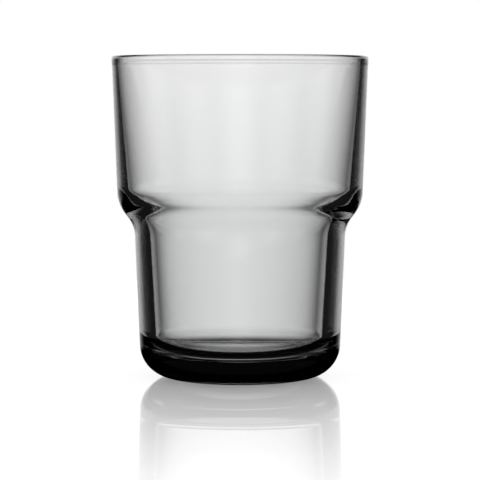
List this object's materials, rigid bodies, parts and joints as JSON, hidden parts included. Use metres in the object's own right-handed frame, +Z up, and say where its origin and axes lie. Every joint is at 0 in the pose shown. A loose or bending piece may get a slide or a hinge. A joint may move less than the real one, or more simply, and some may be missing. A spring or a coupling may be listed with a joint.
{
  "type": "stacking cortado glass",
  "caption": "Smoke-grey pressed-glass tumbler with a wide bowl, a rounded shoulder step, a narrower thick-walled well and a heavy rounded base; stacks foot on ledge.",
  "frame": {"origin": "on the axis of the glass, in the plane of the ring that it stands on", "axes": "+Z up along the axis of the glass, out of its mouth; X and Y are alike"},
  "size_m": [0.068, 0.068, 0.0852],
  "materials": {
    "smoke_glass": "clear fire-polished smoke-grey glass"
  },
  "bodies": {
    "root": {"tumbler": "smoke_glass"}
  },
  "joints": []
}
